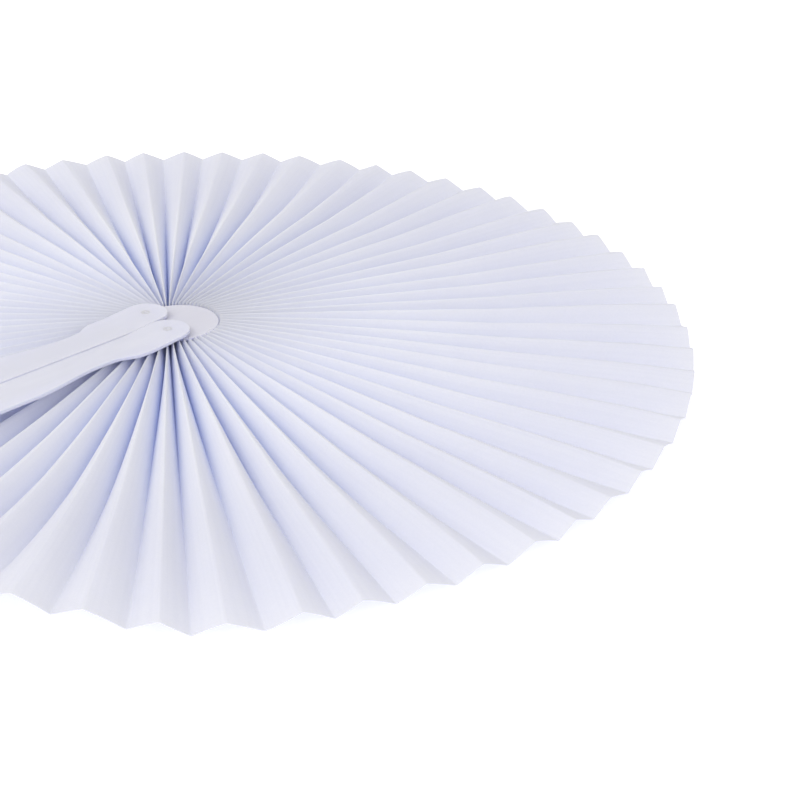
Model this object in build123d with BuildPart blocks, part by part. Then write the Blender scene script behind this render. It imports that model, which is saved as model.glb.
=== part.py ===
"""Round folding fan: a pleated paper leaf that opens through a full circle, on two plastic sticks.

The frame is the open fan lying on its back. The origin is the middle of the leaf on the plane it
lies on, +Z points up through the leaf, and the two sticks lie side by side along -Y.
"""

import os
from math import acos, cos, pi, radians, sin, sqrt, tan

from build123d import *

# The leaf: one strip of paper, pleated and joined to the sticks at its two ends.
LEAF_RADIUS = 120.0
LEAF_BORE = 5.0  # from the axis to the pleats' inner ends
PLEATS = 64
PLEATS_PER_GROUP = 4
PAPER = 0.15
PLEAT_HEIGHT = 5.8  # crest to valley, where the plate lets the paper stand up
PLEAT_REACH = 133.0  # radius at which the paper would be pulled quite flat
PRESSED_RADIUS = 13.2  # the plate holds the crests down as far out as this
PRESSED_HEIGHT = 4.5
FREE_RADIUS = 16.0  # and from here they stand at their full height
FLOOR_RADIUS = 75.0  # the valleys lie on the ground plane as far out as this
RIM_RISE = 1.8  # height of the valleys at the rim
VALLEY_FLAT = 0.16  # width of the flat that a valley rests on

# The leaf's rim climbs towards the sticks on both sides of the handle.
LIFT_HEIGHT = 8.6
LIFT_RADIUS = 45.0  # no lift inside this radius
LIFT_START = 49.0  # degrees from the handle at which the rim begins to climb
LIFT_FULL = 26.0

# The hub: a round plate with an ear under each pin, and a post that the bound pleats close round.
# The plate sits a little to one side of the leaf's middle, towards the right stick.
PLATE_CENTRE = (3.1, -0.1)
PLATE_RADIUS = 9.4
PLATE_BOTTOM = 4.6
PLATE_TOP = 5.2
EAR_RADIUS = 2.6
POST_RADIUS = 2.6
THREAD_RADIUS = 0.35
THREAD_HEIGHT = 2.2

# The sticks turn on two pins in the hub plate. The right one sits a little nearer the handle.
LEFT_PIN = (-3.7, -3.4)
RIGHT_PIN = (6.4, -6.8)
STICK_HALF_WIDTH = 5.0
STICK_LENGTH = 215.0  # from the pin to the far end
STICK_BOTTOM = 6.0
STICK_THICKNESS = 0.8
STICK_SLOPE = 4.0  # degrees that an arm climbs from its head
HEAD_LENGTH = 9.0  # flat part of the stick, from the pin
STICK_EDGE = 0.15  # rounding of the top edges
WAIST_WIDTH = 7.8
WAIST_START = 11.5  # distances from the pin, along the stick
WAIST_NARROW = 20.5
WAIST_END = 24.5
WAIST_GONE = 44.0

# The pins.
PIN_RADIUS = 0.7
PIN_FOOT_RADIUS = 1.3
PIN_FOOT_HEIGHT = 0.3
PIN_HEAD_RADIUS = 0.95
PIN_HEAD_HEIGHT = 0.45
PIN_RUNNING_GAP = 0.03
DIMPLE_RADIUS = 0.5
DIMPLE_DEPTH = 0.3
BOSS_RADIUS = 2.6
BOSS_GAP = 0.1  # between the boss under a head and the plate

# The leaf's flat end panels, glued under the sticks.
TAB_THICKNESS = 0.15
TAB_START = 12.0  # distances from the pin, along the stick
TAB_END = 111.0
TAB_INNER = 4.7  # from the stick's centre line to the tab's edge beside the other stick
TAB_OUTER = 2.0

STICK_TOP = STICK_BOTTOM + STICK_THICKNESS
HALF_PITCH = pi / PLEATS
GROUPS = PLEATS // (2 * PLEATS_PER_GROUP)


def finish(part, name):
    """Label a finished piece and write it."""
    part.label = name
    export_step(part, f"parts/{name}.step")


def smooth_step(value):
    """0 below 0, 1 above 1, and a smooth climb between."""
    t = min(max(value, 0.0), 1.0)
    return t * t * (3.0 - 2.0 * t)


def lift(angle, radius):
    """How far the leaf is raised at this place by the sticks."""
    from_handle = abs((angle + 90.0 + 180.0) % 360.0 - 180.0)
    share = smooth_step((LIFT_START - from_handle) / (LIFT_START - LIFT_FULL))
    reach = max(radius - LIFT_RADIUS, 0.0) / (LEAF_RADIUS - LIFT_RADIUS)
    return LIFT_HEIGHT * share * reach**2


def pleat_stations():
    """Radius, valley height and crest height of each cross-section of a pleat."""
    full = [FREE_RADIUS, FLOOR_RADIUS, 0.5 * (FLOOR_RADIUS + LEAF_RADIUS), LEAF_RADIUS]
    stations = [(LEAF_BORE, 0.0, PRESSED_HEIGHT), (PRESSED_RADIUS, 0.0, PRESSED_HEIGHT)]
    for radius in full:
        height = PLEAT_HEIGHT * sqrt(1.0 - (radius / PLEAT_REACH) ** 2)
        outer = max(radius - FLOOR_RADIUS, 0.0) / (LEAF_RADIUS - FLOOR_RADIUS)
        stations.append((radius, RIM_RISE * outer, RIM_RISE * outer + height))
    return stations


def pleat_outline(radius, valley, crest, angle):
    """Cross-section of one pleat: a V of paper with a small flat at the bottom."""
    half_width = radius * sin(HALF_PITCH)
    slope = sqrt(half_width**2 + (crest - valley) ** 2)
    deep = PAPER * slope / half_width
    flat = 0.5 * VALLEY_FLAT
    edge = 180.0 / PLEATS
    left = lift(angle - edge, radius)
    middle = lift(angle, radius)
    right = lift(angle + edge, radius)
    return [
        (-half_width, crest + left),
        (-half_width, crest + left - deep),
        (-flat, valley + middle),
        (flat, valley + middle),
        (half_width, crest + right - deep),
        (half_width, crest + right),
        (flat, valley + middle + deep),
        (-flat, valley + middle + deep),
    ]


def make_pleat(angle):
    """One pleat, its valley along the radius at this angle."""
    outward = Vector(cos(radians(angle)), sin(radians(angle)), 0.0)
    across = Vector(-outward.Y, outward.X, 0.0)
    with BuildPart() as pleat:
        for radius, valley, crest in pleat_stations():
            centre = outward * (radius * cos(HALF_PITCH))
            with BuildSketch(Plane(origin=centre, x_dir=across, z_dir=outward)):
                with BuildLine():
                    Polyline(*pleat_outline(radius, valley, crest, angle), close=True)
                make_face()
        loft(ruled=True)
    return pleat.part


def make_leaf_group(first_angle):
    """A run of neighbouring pleats, as one piece."""
    pitch = 360.0 / PLEATS
    with BuildPart() as group:
        for index in range(PLEATS_PER_GROUP):
            add(make_pleat(first_angle + (index + 0.5) * pitch))
    return group.part


def stick_height(from_pin, offset):
    """Height above the ground of a line `offset` above the stick's underside."""
    return STICK_BOTTOM + offset + max(from_pin - HEAD_LENGTH, 0.0) * tan(radians(STICK_SLOPE))


def side_profile(pin, near, far, low, high):
    """Side view of a strip that follows the stick, from `near` to `far` of the pin."""
    ends = [near, HEAD_LENGTH, far] if near < HEAD_LENGTH else [near, far]
    lower = [(pin[1] - distance, stick_height(distance, low)) for distance in ends]
    upper = [(pin[1] - distance, stick_height(distance, high)) for distance in reversed(ends)]
    return lower + upper


def make_stick(pin, side):
    """A stick lying along -Y. `side` is -1 for the left stick and +1 for the right one."""
    centre_x, pin_y = pin
    outer = centre_x + side * STICK_HALF_WIDTH
    inner = centre_x - side * STICK_HALF_WIDTH
    waist = inner + side * WAIST_WIDTH
    end_y = pin_y - STICK_LENGTH + STICK_HALF_WIDTH
    with BuildPart() as stick:
        with BuildSketch():
            with BuildLine():
                Line((inner, end_y), (inner, pin_y))
                ThreePointArc((inner, pin_y), (centre_x, pin_y + STICK_HALF_WIDTH), (outer, pin_y))
                Line((outer, pin_y), (outer, pin_y - WAIST_START))
                Bezier(
                    (outer, pin_y - WAIST_START),
                    (outer, pin_y - 0.5 * (WAIST_START + WAIST_NARROW)),
                    (waist, pin_y - 0.5 * (WAIST_START + WAIST_NARROW)),
                    (waist, pin_y - WAIST_NARROW),
                )
                Line((waist, pin_y - WAIST_NARROW), (waist, pin_y - WAIST_END))
                Bezier(
                    (waist, pin_y - WAIST_END),
                    (waist, pin_y - 0.7 * WAIST_END - 0.3 * WAIST_GONE),
                    (outer, pin_y - 0.4 * WAIST_END - 0.6 * WAIST_GONE),
                    (outer, pin_y - WAIST_GONE),
                )
                Line((outer, pin_y - WAIST_GONE), (outer, end_y))
                ThreePointArc((outer, end_y), (centre_x, end_y - STICK_HALF_WIDTH), (inner, end_y))
            make_face()
        extrude(amount=4.0 * STICK_TOP)
        with BuildSketch(Plane.YZ):
            with BuildLine():
                Polyline(
                    *side_profile(pin, -2.0 * STICK_HALF_WIDTH, STICK_LENGTH + 1.0, 0.0, STICK_THICKNESS),
                    close=True,
                )
            make_face()
        extrude(amount=4.0 * STICK_HALF_WIDTH, both=True, mode=Mode.INTERSECT)
        upper_faces = stick.faces().filter_by(lambda face: face.normal_at().Z > 0.9)
        top_edges = ShapeList()
        for face in upper_faces:
            top_edges += face.edges()
        rims = top_edges.filter_by(lambda edge: not is_bend(edge, pin_y))
        fillet(rims, STICK_EDGE)
        with BuildSketch(Plane.XY.offset(PLATE_TOP + BOSS_GAP)):
            with Locations(pin):
                Circle(BOSS_RADIUS)
        extrude(until=Until.NEXT)
        with Locations((centre_x, pin_y, STICK_TOP)):
            CounterBoreHole(
                PIN_RADIUS + PIN_RUNNING_GAP,
                PIN_HEAD_RADIUS + PIN_RUNNING_GAP,
                PIN_HEAD_HEIGHT + PIN_RUNNING_GAP,
                depth=2.0 * STICK_THICKNESS,
            )
    return stick.part


def is_bend(edge, pin_y):
    """Whether an edge is the line across the stick where its arm starts to climb."""
    box = edge.bounding_box()
    return box.size.Y < 0.01 and abs(box.min.Y - (pin_y - HEAD_LENGTH)) < 0.01


def make_tab(pin, side):
    """The leaf's flat end panel, which lies against the underside of a stick."""
    near_edge = pin[0] - side * TAB_INNER
    far_edge = pin[0] + side * TAB_OUTER
    with BuildPart() as tab:
        with BuildSketch(Plane.YZ.offset(min(near_edge, far_edge))):
            with BuildLine():
                Polyline(*side_profile(pin, TAB_START, TAB_END, -TAB_THICKNESS, 0.0), close=True)
            make_face()
        extrude(amount=abs(far_edge - near_edge))
    return tab.part


def make_pin(pin):
    """A headed pin. Its foot is let into the plate and its head into the stick, dimpled on top."""
    ball = (DIMPLE_RADIUS**2 + DIMPLE_DEPTH**2) / (2.0 * DIMPLE_DEPTH)
    with BuildPart() as body:
        with BuildSketch(Plane.XY.offset(PLATE_BOTTOM)):
            with Locations(pin):
                Circle(PIN_FOOT_RADIUS)
        extrude(amount=PIN_FOOT_HEIGHT)
        with BuildSketch(Plane.XY.offset(PLATE_BOTTOM + PIN_FOOT_HEIGHT)):
            with Locations(pin):
                Circle(PIN_RADIUS)
        extrude(amount=STICK_TOP - PLATE_BOTTOM - PIN_FOOT_HEIGHT)
        with BuildSketch(Plane.XY.offset(STICK_TOP - PIN_HEAD_HEIGHT)):
            with Locations(pin):
                Circle(PIN_HEAD_RADIUS)
        extrude(amount=PIN_HEAD_HEIGHT)
        with Locations((pin[0], pin[1], STICK_TOP - DIMPLE_DEPTH + ball)):
            Sphere(ball, mode=Mode.SUBTRACT)
    return body.part


os.makedirs("parts", exist_ok=True)

with BuildPart() as hub_plate:
    with BuildSketch(Plane.XY.offset(PLATE_BOTTOM)):
        with Locations(PLATE_CENTRE):
            Circle(PLATE_RADIUS)
        with Locations(LEFT_PIN, RIGHT_PIN):
            Circle(EAR_RADIUS)
    extrude(amount=PLATE_TOP - PLATE_BOTTOM)
    fillet(hub_plate.faces().sort_by(Axis.Z)[-1].edges(), 0.25)
    with BuildSketch():
        Circle(POST_RADIUS)
    extrude(amount=PLATE_BOTTOM)
    with BuildSketch(Plane.XY.offset(PLATE_BOTTOM)):
        with Locations(LEFT_PIN, RIGHT_PIN):
            Circle(PIN_FOOT_RADIUS)
    extrude(amount=PIN_FOOT_HEIGHT, mode=Mode.SUBTRACT)
    with BuildSketch(Plane.XY.offset(PLATE_BOTTOM)):
        with Locations(LEFT_PIN, RIGHT_PIN):
            Circle(PIN_RADIUS)
    extrude(amount=PLATE_TOP, mode=Mode.SUBTRACT)
finish(hub_plate.part, "hub_plate")

with BuildPart() as binding_thread:
    with BuildSketch(Plane.XZ):
        with Locations((POST_RADIUS + THREAD_RADIUS + PIN_RUNNING_GAP, THREAD_HEIGHT)):
            Circle(THREAD_RADIUS)
    revolve(axis=Axis.Z)
finish(binding_thread.part, "binding_thread")

for hand, pin, side in (("left", LEFT_PIN, -1), ("right", RIGHT_PIN, 1)):
    finish(make_stick(pin, side), f"{hand}_stick")
    finish(make_tab(pin, side), f"{hand}_glue_tab")
    finish(make_pin(pin), f"{hand}_pivot_pin")
    group_angle = 360.0 * PLEATS_PER_GROUP / PLEATS
    for number in range(1, GROUPS + 1):
        if side < 0:
            first_angle = 90.0 + (number - 1) * group_angle
        else:
            first_angle = 90.0 - number * group_angle
        finish(make_leaf_group(first_angle), f"{hand}_leaf_{number}")
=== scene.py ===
import math

import bpy
import numpy as np
from mathutils import Matrix, Vector


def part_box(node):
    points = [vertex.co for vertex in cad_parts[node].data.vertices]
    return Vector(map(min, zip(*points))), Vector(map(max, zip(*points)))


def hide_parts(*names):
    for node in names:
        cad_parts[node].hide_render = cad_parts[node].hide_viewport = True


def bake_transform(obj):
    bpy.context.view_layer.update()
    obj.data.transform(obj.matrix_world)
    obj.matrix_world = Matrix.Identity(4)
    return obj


# A round folding fan lying open: a pleated paper leaf, a hub plate and two flat plastic sticks.
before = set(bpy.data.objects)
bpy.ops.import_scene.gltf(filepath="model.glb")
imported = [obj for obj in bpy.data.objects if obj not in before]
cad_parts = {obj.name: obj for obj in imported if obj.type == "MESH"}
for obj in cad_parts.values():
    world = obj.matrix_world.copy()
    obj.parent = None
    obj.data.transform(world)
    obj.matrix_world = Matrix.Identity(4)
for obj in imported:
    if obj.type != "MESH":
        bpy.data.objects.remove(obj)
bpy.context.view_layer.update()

MM = 0.001
SEED = 11

# Camera, in millimetres and degrees.
CAMERA_PLACE = (233.7, -235.5, 157.1)
CAMERA_HEADING = 35.45
CAMERA_ELEVATION = 27.75
CAMERA_ROLL = 0.99
CAMERA_LENS = 70.4
SENSOR = 36.0

# The leaf, in millimetres and degrees. Angles are counted from +Y towards the sticks.
FOLDS = 64  # folds in one half, valley and crest in turn
INNER_RADIUS = 3.6
PAPER = 0.15
VALLEY_HEIGHT = 0.12  # of the middle of the paper, above the ground plane
PLEAT_HEIGHT = 5.6
PLEAT_REACH = 133.0
PRESSED_HEIGHT = 4.35  # under the hub plate
EAR_RADIUS = 3.1  # the stick's boss holds the crests down as far as this from its pin
CREST_RISE = 0.6  # distance outside the plate in which the crests reach their full height
FLOOR_RADIUS = 75.0
RIM_RISE = 1.8
LIFT_HEIGHT = 8.2
LIFT_RADIUS = 45.0
LIFT_START = 49.0
LIFT_FULL = 26.0
UNDER_PLATE = (0.0, 0.35, 0.7, 0.9)  # rings from the inner end to the plate's edge
AT_EDGE = (0.0, 0.1, 0.2, 0.3, 0.4, 0.5, 0.65, 0.9)  # rings just outside it
RADIAL_STEPS = 46  # rings from there to the rim
ACROSS = (0.0, 0.035, 0.11, 0.28, 0.5, 0.72, 0.89, 0.965)  # places across one panel
SHARP = 50.0  # edges that turn by more than this are creases
VALLEY_SHADE_START = 8.0  # the painted valley shade is darkest and bluest here
VALLEY_SHADE_REACH = 55.0  # and less so further out, by this scale
HUB_LIGHT_START = 105.0  # painted light lightens the close pleats towards the hub from here inwards, against their shade
HUB_LIGHT_FULL = 20.0

# How each panel bulges between its folds: at the hub, further out, and at the rim again.
HUB_BULGE = 0.15
BULGE_GAIN, GAIN_START, GAIN_WIDTH = 0.65, 18.0, 40.0
BULGE_LOSS, LOSS_START, LOSS_WIDTH = 0.6, 108.0, 12.0
BEND_WIDTH = 0.05  # share of a panel that the colour of a fold covers

# The glued end: where it meets the tab, the length of the change, and the depth into the tab.
TAB_OVERLAP = 2.0
TAB_CHANGE = 9.0
TAB_DEPTH = 0.6 * PAPER

# The pleats' unevenness, in degrees and millimetres. The folds next to an end are held.
DRIFT_MEAN = 0.67
DRIFT_SLOPE = 0.0078  # for each degree round the leaf
DRIFT_FADE = 25.0
LOOSER = 0.2  # for each fold away from an end of the half
SPACING_SPREAD = 0.22
LINE_SPREAD, LINE_WAVES = 0.16, 1.7
CREST_SPREAD = 0.10
PANEL_SPREAD, PANEL_WAVE = 0.16, 2.6

LIGHT_COLOUR = (1.0, 0.985, 0.95)
FLOOR_SIDE = 3.0  # metres from the middle

outer_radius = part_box("right_leaf_1")[1].y / MM


def smooth_step(value):
    t = np.clip(value, 0.0, 1.0)
    return t * t * (3.0 - 2.0 * t)


# ---------------------------------------------------------------- materials


class Material:
    """A node material round one Principled shader, with short calls for its textures."""

    def __init__(self, name):
        self.material = bpy.data.materials.new(name)
        self.material.use_nodes = True
        self.tree = self.material.node_tree
        self.shader = self.tree.nodes["Principled BSDF"]
        self.coordinates = self.tree.nodes.new("ShaderNodeTexCoord")

    def set(self, **values):
        for socket, value in values.items():
            self.shader.inputs[socket.replace("_", " ")].default_value = value

    def link(self, source, target):
        self.tree.links.new(source, target)

    def mapping(self, scale):
        node = self.tree.nodes.new("ShaderNodeMapping")
        node.inputs["Scale"].default_value = scale
        self.link(self.coordinates.outputs["Object"], node.inputs["Vector"])
        return node.outputs["Vector"]

    def noise(self, scale, detail=3.0, roughness=0.5, stretch=(1.0, 1.0, 1.0), distortion=0.0):
        node = self.tree.nodes.new("ShaderNodeTexNoise")
        node.inputs["Scale"].default_value = scale
        node.inputs["Detail"].default_value = detail
        node.inputs["Roughness"].default_value = roughness
        node.inputs["Distortion"].default_value = distortion
        self.link(self.mapping(stretch), node.inputs["Vector"])
        return node.outputs["Fac"]

    def streaks(self, scale):
        """Fine lines that run along the pleats, from the place across them."""
        node = self.tree.nodes.new("ShaderNodeTexNoise")
        node.noise_dimensions = "1D"
        node.inputs["Scale"].default_value = scale
        node.inputs["Detail"].default_value = 3.0
        self.link(self.attribute("across"), node.inputs["W"])
        return node.outputs["Fac"]

    def attribute(self, name):
        node = self.tree.nodes.new("ShaderNodeAttribute")
        node.attribute_name = name
        return node.outputs["Fac"]

    def ramp(self, value, stops):
        node = self.tree.nodes.new("ShaderNodeValToRGB")
        elements = node.color_ramp.elements
        elements[0].position, elements[0].color = stops[0][0], (*stops[0][1], 1.0)
        elements[1].position, elements[1].color = stops[-1][0], (*stops[-1][1], 1.0)
        for place, colour in stops[1:-1]:
            elements.new(place).color = (*colour, 1.0)
        self.link(value, node.inputs["Fac"])
        return node.outputs["Color"]

    def mix(self, factor, first, second, mode="MIX"):
        node = self.tree.nodes.new("ShaderNodeMix")
        node.data_type = "RGBA"
        node.blend_type = mode
        for socket, value in ((0, factor), (6, first), (7, second)):
            if hasattr(value, "is_linked"):
                self.link(value, node.inputs[socket])
            else:
                node.inputs[socket].default_value = value
        return node.outputs[2]

    def remap(self, value, low, high, to_low, to_high):
        node = self.tree.nodes.new("ShaderNodeMapRange")
        for socket, number in ((1, low), (2, high), (3, to_low), (4, to_high)):
            node.inputs[socket].default_value = number
        self.link(value, node.inputs["Value"])
        return node.outputs["Result"]

    def bump(self, layers):
        """layers are (height, strength, distance in metres), each on top of the last."""
        normal = None
        for height, strength, distance in layers:
            node = self.tree.nodes.new("ShaderNodeBump")
            node.inputs["Strength"].default_value = strength
            node.inputs["Distance"].default_value = distance
            self.link(height, node.inputs["Height"])
            if normal is not None:
                self.link(normal, node.inputs["Normal"])
            normal = node.outputs["Normal"]
        self.link(normal, self.shader.inputs["Normal"])


def paper_material():
    paper = Material("white_paper")
    plain = (1.0, 1.0, 1.0)
    cloud = paper.noise(45.0, 4.0)
    fibre = paper.noise(1900.0, 5.0, 0.62, distortion=0.4)
    fleck = paper.noise(520.0, 2.0)
    body = paper.ramp(cloud, [(0.3, (0.710, 0.725, 0.848)), (0.7, (0.729, 0.743, 0.858))])
    speck = paper.ramp(fibre, [(0.35, (0.975, 0.978, 0.985)), (0.65, plain)])
    colour = paper.mix(1.0, body, speck, "MULTIPLY")
    streak = paper.ramp(paper.streaks(9.0), [(0.35, (0.982, 0.983, 0.988)), (0.6, plain)])
    colour = paper.mix(1.0, colour, streak, "MULTIPLY")
    fold = paper.ramp(paper.attribute("fold"), [(0.0, plain), (1.0, (1.012, 1.012, 1.01))])
    colour = paper.mix(1.0, colour, fold, "MULTIPLY")
    # Painted light: the paper is made lighter towards the hub, where the close pleats lie in
    # shade.
    near = paper.ramp(paper.attribute("near"), [(0.0, plain), (1.0, (1.17, 1.17, 1.13))])
    colour = paper.mix(1.0, colour, near, "MULTIPLY")
    # Painted shade: the paper is darkened and turned blue towards the bottoms of the valleys, most
    # near the hub, where shade falls.
    painted_valley_shade = paper.ramp(paper.attribute("painted_valley_shade"), [(0.0, plain), (1.0, (0.53, 0.65, 0.92))])
    colour = paper.mix(1.0, colour, painted_valley_shade, "MULTIPLY")
    paper.link(colour, paper.shader.inputs["Base Color"])
    paper.link(paper.remap(fleck, 0.3, 0.7, 0.78, 0.92), paper.shader.inputs["Roughness"])
    paper.set(Specular_IOR_Level=0.22, Sheen_Weight=0.05)
    paper.set(Subsurface_Weight=0.38, Subsurface_Radius=(1.0, 1.0, 1.2), Subsurface_Scale=0.001)
    paper.bump([(cloud, 0.08, 0.0002), (fleck, 0.06, 0.00004), (fibre, 0.2, 0.00002)])
    return paper.material


def plastic_material(name, tint, roughness, subsurface):
    plastic = Material(name)
    cloud = plastic.noise(60.0, 3.0)
    grain = plastic.noise(2600.0, 3.0, 0.6)
    scuff = plastic.noise(130.0, 6.0, 0.66, stretch=(1.0, 0.18, 1.0), distortion=0.6)
    low = tuple(0.965 * channel for channel in tint)
    body = plastic.ramp(cloud, [(0.3, low), (0.7, tint)])
    wear = plastic.ramp(scuff, [(0.44, (0.97, 0.97, 0.975)), (0.62, (1.0, 1.0, 1.0))])
    colour = plastic.mix(1.0, body, wear, "MULTIPLY")
    plastic.link(colour, plastic.shader.inputs["Base Color"])
    rough = plastic.remap(scuff, 0.35, 0.7, roughness + 0.1, roughness - 0.05)
    plastic.link(rough, plastic.shader.inputs["Roughness"])
    plastic.set(Specular_IOR_Level=0.45, Subsurface_Weight=subsurface)
    plastic.set(Subsurface_Radius=(1.0, 1.0, 1.1), Subsurface_Scale=0.001)
    plastic.bump([(cloud, 0.2, 0.00012), (grain, 0.25, 0.00001)])
    return plastic.material


def thread_material():
    thread = Material("cotton_thread")
    twist = thread.noise(3800.0, 2.0, stretch=(1.0, 1.0, 3.0))
    colour = thread.ramp(twist, [(0.35, (0.62, 0.62, 0.60)), (0.65, (0.84, 0.84, 0.80))])
    thread.link(colour, thread.shader.inputs["Base Color"])
    thread.link(thread.remap(twist, 0.3, 0.7, 0.7, 0.95), thread.shader.inputs["Roughness"])
    thread.bump([(twist, 0.8, 0.00005)])
    return thread.material


def floor_material():
    floor = Material("pale_floor")
    cloud = floor.noise(3.0, 3.0)
    colour = floor.ramp(cloud, [(0.3, (0.93, 0.93, 0.935)), (0.7, (0.95, 0.95, 0.95))])
    floor.link(colour, floor.shader.inputs["Base Color"])
    floor.set(Roughness=0.9, Specular_IOR_Level=0.1, Emission_Strength=0.3)
    return floor.material


# ---------------------------------------------------------------- the leaf


def hub_circles():
    """Centre and radius of each circle that the hub plate's outline is made of."""
    low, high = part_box("hub_plate")
    radius = 0.5 * (high.x - low.x) / MM
    circles = [(0.5 * (low.x + high.x) / MM, high.y / MM - radius, radius)]
    for hand in ("left", "right"):
        low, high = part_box(f"{hand}_pivot_pin")
        circles.append((0.5 * (low.x + high.x) / MM, 0.5 * (low.y + high.y) / MM, EAR_RADIUS))
    return circles


def plate_edge(side, angle):
    """How far the hub plate reaches from the leaf's middle, along each fold."""
    across, along = side * np.sin(np.radians(angle)), np.cos(np.radians(angle))
    edge = np.zeros_like(angle)
    for x, y, radius in hub_circles():
        nearest = x * across + y * along
        inside = radius**2 - x**2 - y**2 + nearest**2
        far = nearest + np.sqrt(np.maximum(inside, 0.0))
        edge = np.maximum(edge, np.where(inside > 0.0, far, 0.0))
    return edge


def ring_radii(edge):
    """Radii of the rings along each fold. They are close together at the plate's edge."""
    under = INNER_RADIUS + (edge - INNER_RADIUS) * np.array(UNDER_PLATE)
    start = edge + AT_EDGE[-1]
    share = np.linspace(0.0, 1.0, RADIAL_STEPS + 1)[1:] ** 1.3
    return np.hstack([under, edge + np.array(AT_EDGE), start + (outer_radius - start) * share])


def pleat_heights(radius, edge):
    """Valley and crest height at a radius, without the lift."""
    full = PLEAT_HEIGHT * np.sqrt(1.0 - (radius / PLEAT_REACH) ** 2)
    height = PRESSED_HEIGHT + (full - PRESSED_HEIGHT) * smooth_step((radius - edge) / CREST_RISE)
    outer = np.maximum(radius - FLOOR_RADIUS, 0.0) / (outer_radius - FLOOR_RADIUS)
    valley = VALLEY_HEIGHT + RIM_RISE * outer
    return valley, valley + height


def lift(angle, radius):
    """How far the leaf is raised by the sticks, at an angle from +Y."""
    share = smooth_step((LIFT_START - (180.0 - angle)) / (LIFT_START - LIFT_FULL))
    reach = np.maximum(radius - LIFT_RADIUS, 0.0) / (outer_radius - LIFT_RADIUS)
    return LIFT_HEIGHT * share * reach**2


def drift(side, angle):
    """Slow unevenness of the pleats' spacing, in degrees clockwise. It fades out at the sticks."""
    fade = smooth_step((180.0 - angle) / DRIFT_FADE)
    return fade * (DRIFT_MEAN - DRIFT_SLOPE * side * angle)


def fold_lines(hand):
    """Place of every fold at every ring: x, y and z, each fold by ring."""
    side = -1.0 if hand == "left" else 1.0
    rng = np.random.default_rng(SEED + (hand == "right"))
    number = np.arange(FOLDS + 1)[:, None]
    angle = 180.0 * number / FOLDS
    angle = angle + side * drift(side, angle)
    edge = plate_edge(side, angle)
    radius = ring_radii(edge)
    loose = np.minimum(1.0, LOOSER * np.minimum(number, FOLDS - number))
    out = radius / outer_radius
    jitter = rng.normal(0.0, 1.0, (FOLDS + 1, 4))
    angle = angle + loose * SPACING_SPREAD * jitter[:, :1]
    wave = np.sin(math.pi * out * LINE_WAVES + 1.2 * jitter[:, 1:2])
    angle = angle + loose * LINE_SPREAD * wave * (1.0 - out) * jitter[:, 2:3]
    valley, crest = pleat_heights(radius, edge)
    is_crest = number % 2 == 1
    z = np.where(is_crest, crest, valley)
    z = z + lift(angle, radius) + loose * CREST_SPREAD * out * jitter[:, 3:4] * is_crest
    turned = np.radians(angle)
    lines = np.stack([side * radius * np.sin(turned), radius * np.cos(turned), z], axis=-1)
    lines[-1] = glued_end(hand, lines[-1])
    return lines


def glued_end(hand, line):
    """The last fold runs out along the tab under the stick instead of standing free."""
    low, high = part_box(f"{hand}_glue_tab")
    low, high = low / MM, high / MM
    edge = high.x if hand == "left" else low.x
    slope = (high.z - low.z - PAPER) / (high.y - low.y)
    under = low.z + slope * (high.y - line[:, 1]) - TAB_DEPTH
    share = smooth_step((high.y + TAB_OVERLAP - line[:, 1]) / TAB_CHANGE)[:, None]
    target = np.stack([np.full(len(line), edge), line[:, 1], under], axis=-1)
    return line + (target - line) * share


def arch(share, radius):
    """Height across a panel from its valley, 0, to its crest, 1. It bulges away from the hub."""
    bulge = HUB_BULGE + BULGE_GAIN * smooth_step((radius - GAIN_START) / GAIN_WIDTH)
    bulge = bulge - BULGE_LOSS * smooth_step((radius - LOSS_START) / LOSS_WIDTH)
    return (1.0 - bulge) * share + bulge * np.sin(0.5 * math.pi * share)


def panel_rows(hand):
    """The whole half as a grid of points, column by column round the leaf.

    With each column comes how near it is to a fold, and with each point how much painted valley
    shade it gets.
    """
    lines = fold_lines(hand)
    rng = np.random.default_rng(SEED + 7 + (hand == "right"))
    columns, folds, valley_shade_weights = [], [], []
    for panel in range(FOLDS):
        start, end = lines[panel], lines[panel + 1]
        radius = np.hypot(start[:, 0], start[:, 1])
        out = radius / outer_radius
        bow = rng.normal(0.0, 1.0)
        phase = rng.uniform(0.0, 2.0 * math.pi)
        size = PANEL_SPREAD * bow * out * np.sin(PANEL_WAVE * out + phase)
        for place in ACROSS:
            point = start + (end - start) * place
            climb = arch(place, radius) if panel % 2 == 0 else 1.0 - arch(1.0 - place, radius)
            if panel < FOLDS - 1:
                point[:, 2] = start[:, 2] + (end[:, 2] - start[:, 2]) * climb
            point[:, 2] += 4.0 * place * (1.0 - place) * size
            columns.append(point)
            folds.append(math.exp(-((min(place, 1.0 - place) / BEND_WIDTH) ** 2)))
            # Weight of the painted valley shade: most at the valley, and fading out with the
            # radius.
            below = 1.0 - place if panel % 2 == 0 else place
            fade = np.exp(-(((radius - VALLEY_SHADE_START) / VALLEY_SHADE_REACH) ** 2))
            valley_shade_weights.append(below**3 * fade)
    columns.append(lines[-1])
    folds.append(1.0)
    valley_shade_weights.append(valley_shade_weights[-1])
    return np.array(columns), np.array(folds), np.array(valley_shade_weights)


def soften_folds(grid):
    """Rounds each fold a little, so that it has the radius of bent paper."""
    step = len(ACROSS)
    rounded = grid.copy()
    inner = np.arange(step, len(grid) - 1, step)
    rounded[inner] = 0.5 * grid[inner] + 0.25 * (grid[inner - 1] + grid[inner + 1])
    return rounded


def grid_normals(grid):
    """Unit normals at the grid's points, on the upper side."""
    around = np.gradient(grid, axis=0)
    outward = np.gradient(grid, axis=1)
    normal = np.cross(outward, around)
    normal *= np.sign(normal[..., 2:3].mean())
    return normal / np.maximum(np.linalg.norm(normal, axis=-1, keepdims=True), 1e-9)


def point_values(mesh, name, values):
    attribute = mesh.attributes.new(name, "FLOAT", "POINT")
    attribute.data.foreach_set("value", values.astype(np.float32))


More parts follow.
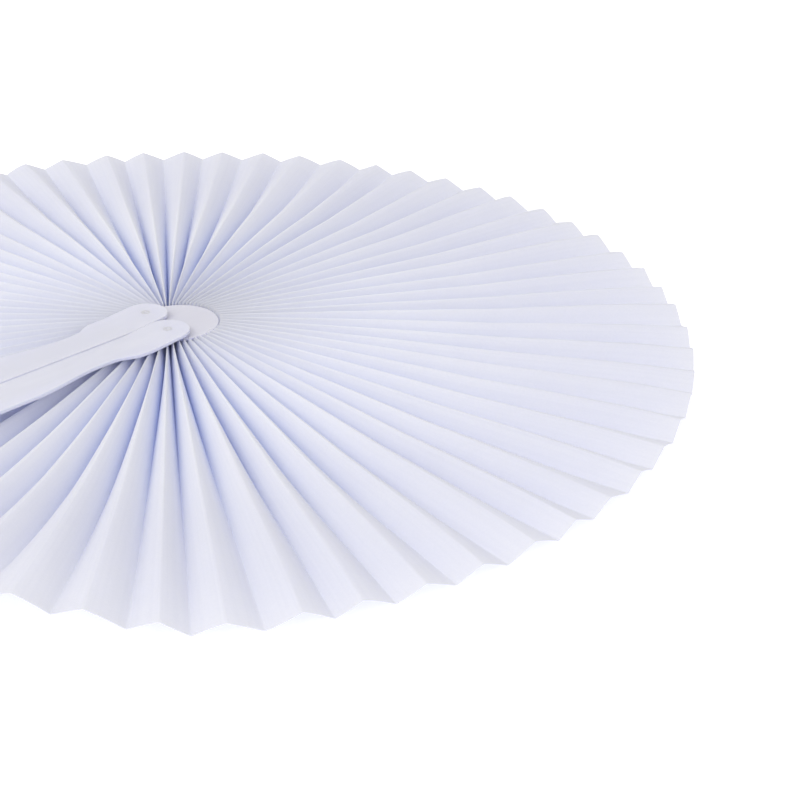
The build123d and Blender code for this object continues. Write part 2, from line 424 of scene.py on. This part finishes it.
def leaf_half(hand, material):
    """One half of the leaf, from the fold at +Y to the stick, with the paper's thickness."""
    grid, folds, valley_shade_weights = panel_rows(hand)
    grid = soften_folds(grid)
    normal = grid_normals(grid)
    top = grid + 0.5 * PAPER * normal
    bottom = grid - 0.5 * PAPER * normal
    columns, rings = grid.shape[:2]
    points = np.concatenate([top.reshape(-1, 3), bottom.reshape(-1, 3)])
    number = np.arange(columns * rings).reshape(columns, rings)
    under = number + columns * rings
    a, b = number[:-1, :-1], number[1:, :-1]
    c, d = number[1:, 1:], number[:-1, 1:]
    faces = [np.stack([a, b, c, d], -1).reshape(-1, 4)]
    a, b, c, d = (piece + columns * rings for piece in (a, b, c, d))
    faces.append(np.stack([a, d, c, b], -1).reshape(-1, 4))
    for line, below, flip in (
        (number[0], under[0], False),
        (number[-1], under[-1], True),
        (number[:, 0], under[:, 0], True),
        (number[:, -1], under[:, -1], False),
    ):
        strip = np.stack([line[:-1], line[1:], below[1:], below[:-1]], -1)
        faces.append(strip[:, ::-1] if flip else strip)
    faces = np.concatenate(faces)
    if hand == "left":
        faces = faces[:, ::-1]
    mesh = bpy.data.meshes.new(f"{hand}_leaf")
    mesh.from_pydata((points * MM).tolist(), [], faces.tolist())
    mesh.validate()
    place = np.arange(columns) / len(ACROSS)
    radius = np.hypot(points[:, 0], points[:, 1])
    point_values(mesh, "fold", np.tile(np.repeat(folds, rings), 2))
    point_values(mesh, "across", np.tile(np.repeat(place, rings), 2))
    # The underside gets no painted valley shade: what is a valley above is a ridge there.
    point_values(mesh, "painted_valley_shade", np.concatenate([valley_shade_weights.ravel(), np.zeros(valley_shade_weights.size)]))
    # Share of the painted light towards the hub.
    painted_hub_light_share = smooth_step((HUB_LIGHT_START - radius) / (HUB_LIGHT_START - HUB_LIGHT_FULL))
    point_values(mesh, "near", painted_hub_light_share)
    mesh.materials.append(material)
    mesh.shade_smooth()
    mesh.set_sharp_from_angle(angle=math.radians(SHARP))
    leaf = bpy.data.objects.new(f"{hand}_leaf", mesh)
    bpy.context.scene.collection.objects.link(leaf)
    return leaf


def hinge_leaf(leaf, hand):
    """The leaf's transform is baked into its mesh and its points are read. The model's own leaf
    pieces for this hand are hidden.
    """
    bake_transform(leaf)
    points = np.zeros(3 * len(leaf.data.vertices), np.float32)
    leaf.data.vertices.foreach_get("co", points)
    points = points.reshape(-1, 3)
    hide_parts(*(f"{hand}_leaf_{group}" for group in range(1, 9)))


# ---------------------------------------------------------------- light and camera


def make_camera():
    data = bpy.data.cameras.new("camera")
    data.lens = CAMERA_LENS
    data.sensor_width = SENSOR
    data.clip_start = 0.01
    camera = bpy.data.objects.new("camera", data)
    turn = (
        Matrix.Rotation(math.radians(CAMERA_HEADING), 4, "Z")
        @ Matrix.Rotation(math.radians(90.0 - CAMERA_ELEVATION), 4, "X")
        @ Matrix.Rotation(math.radians(CAMERA_ROLL), 4, "Z")
    )
    camera.matrix_world = Matrix.Translation(Vector(CAMERA_PLACE) * MM) @ turn
    bpy.context.scene.collection.objects.link(camera)
    bpy.context.scene.camera = camera


def area_light(name, place, aim, size, energy):
    data = bpy.data.lights.new(name, "AREA")
    data.shape = "RECTANGLE"
    data.size, data.size_y = size
    data.energy = energy
    data.color = LIGHT_COLOUR
    light = bpy.data.objects.new(name, data)
    light.location = place
    light.rotation_mode = "QUATERNION"
    light.rotation_quaternion = (Vector(aim) - Vector(place)).to_track_quat("-Z", "Y")
    bpy.context.scene.collection.objects.link(light)


def make_light():
    world = bpy.data.worlds.new("studio")
    world.use_nodes = True
    background = world.node_tree.nodes["Background"]
    background.inputs["Color"].default_value = (1.0, 0.985, 0.94, 1.0)
    background.inputs["Strength"].default_value = 0.74
    bpy.context.scene.world = world
    bpy.context.scene.cycles.diffuse_bounces = 10
    area_light("key", (0.09, -0.98, 1.00), (0, 0, 0), (0.9, 0.9), 5.2)
    area_light("side", (-0.98, -0.70, 0.80), (0, 0, 0), (0.8, 0.8), 2.2)
    area_light("right", (1.00, -0.20, 0.80), (0, 0, 0), (0.8, 0.8), 1.6)


def make_floor():
    far = FLOOR_SIDE
    mesh = bpy.data.meshes.new("floor")
    corners = [(-far, -far, 0.0), (far, -far, 0.0), (far, far, 0.0), (-far, far, 0.0)]
    mesh.from_pydata(corners, [], [(0, 1, 2, 3)])
    mesh.materials.append(floor_material())
    floor = bpy.data.objects.new("floor", mesh)
    bpy.context.scene.collection.objects.link(floor)


def paint_node(name, material):
    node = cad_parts[name]
    node.data.materials.clear()
    node.data.materials.append(material)


bpy.context.scene.view_settings.view_transform = "Standard"
make_camera()
make_light()
make_floor()

paper = paper_material()
for hand in ("left", "right"):
    hinge_leaf(leaf_half(hand, paper), hand)
    paint_node(f"{hand}_glue_tab", paper)

stick_plastic = plastic_material("stick_plastic", (0.755, 0.77, 0.93), 0.36, subsurface=0.6)
pin_plastic = plastic_material("pin_plastic", (0.69, 0.70, 0.80), 0.3, subsurface=0.2)
hub_plastic = plastic_material("hub_plastic", (0.725, 0.73, 0.865), 0.3, subsurface=0.3)
for hand in ("left", "right"):
    paint_node(f"{hand}_stick", stick_plastic)
    paint_node(f"{hand}_pivot_pin", pin_plastic)
paint_node("hub_plate", hub_plastic)
paint_node("binding_thread", thread_material())
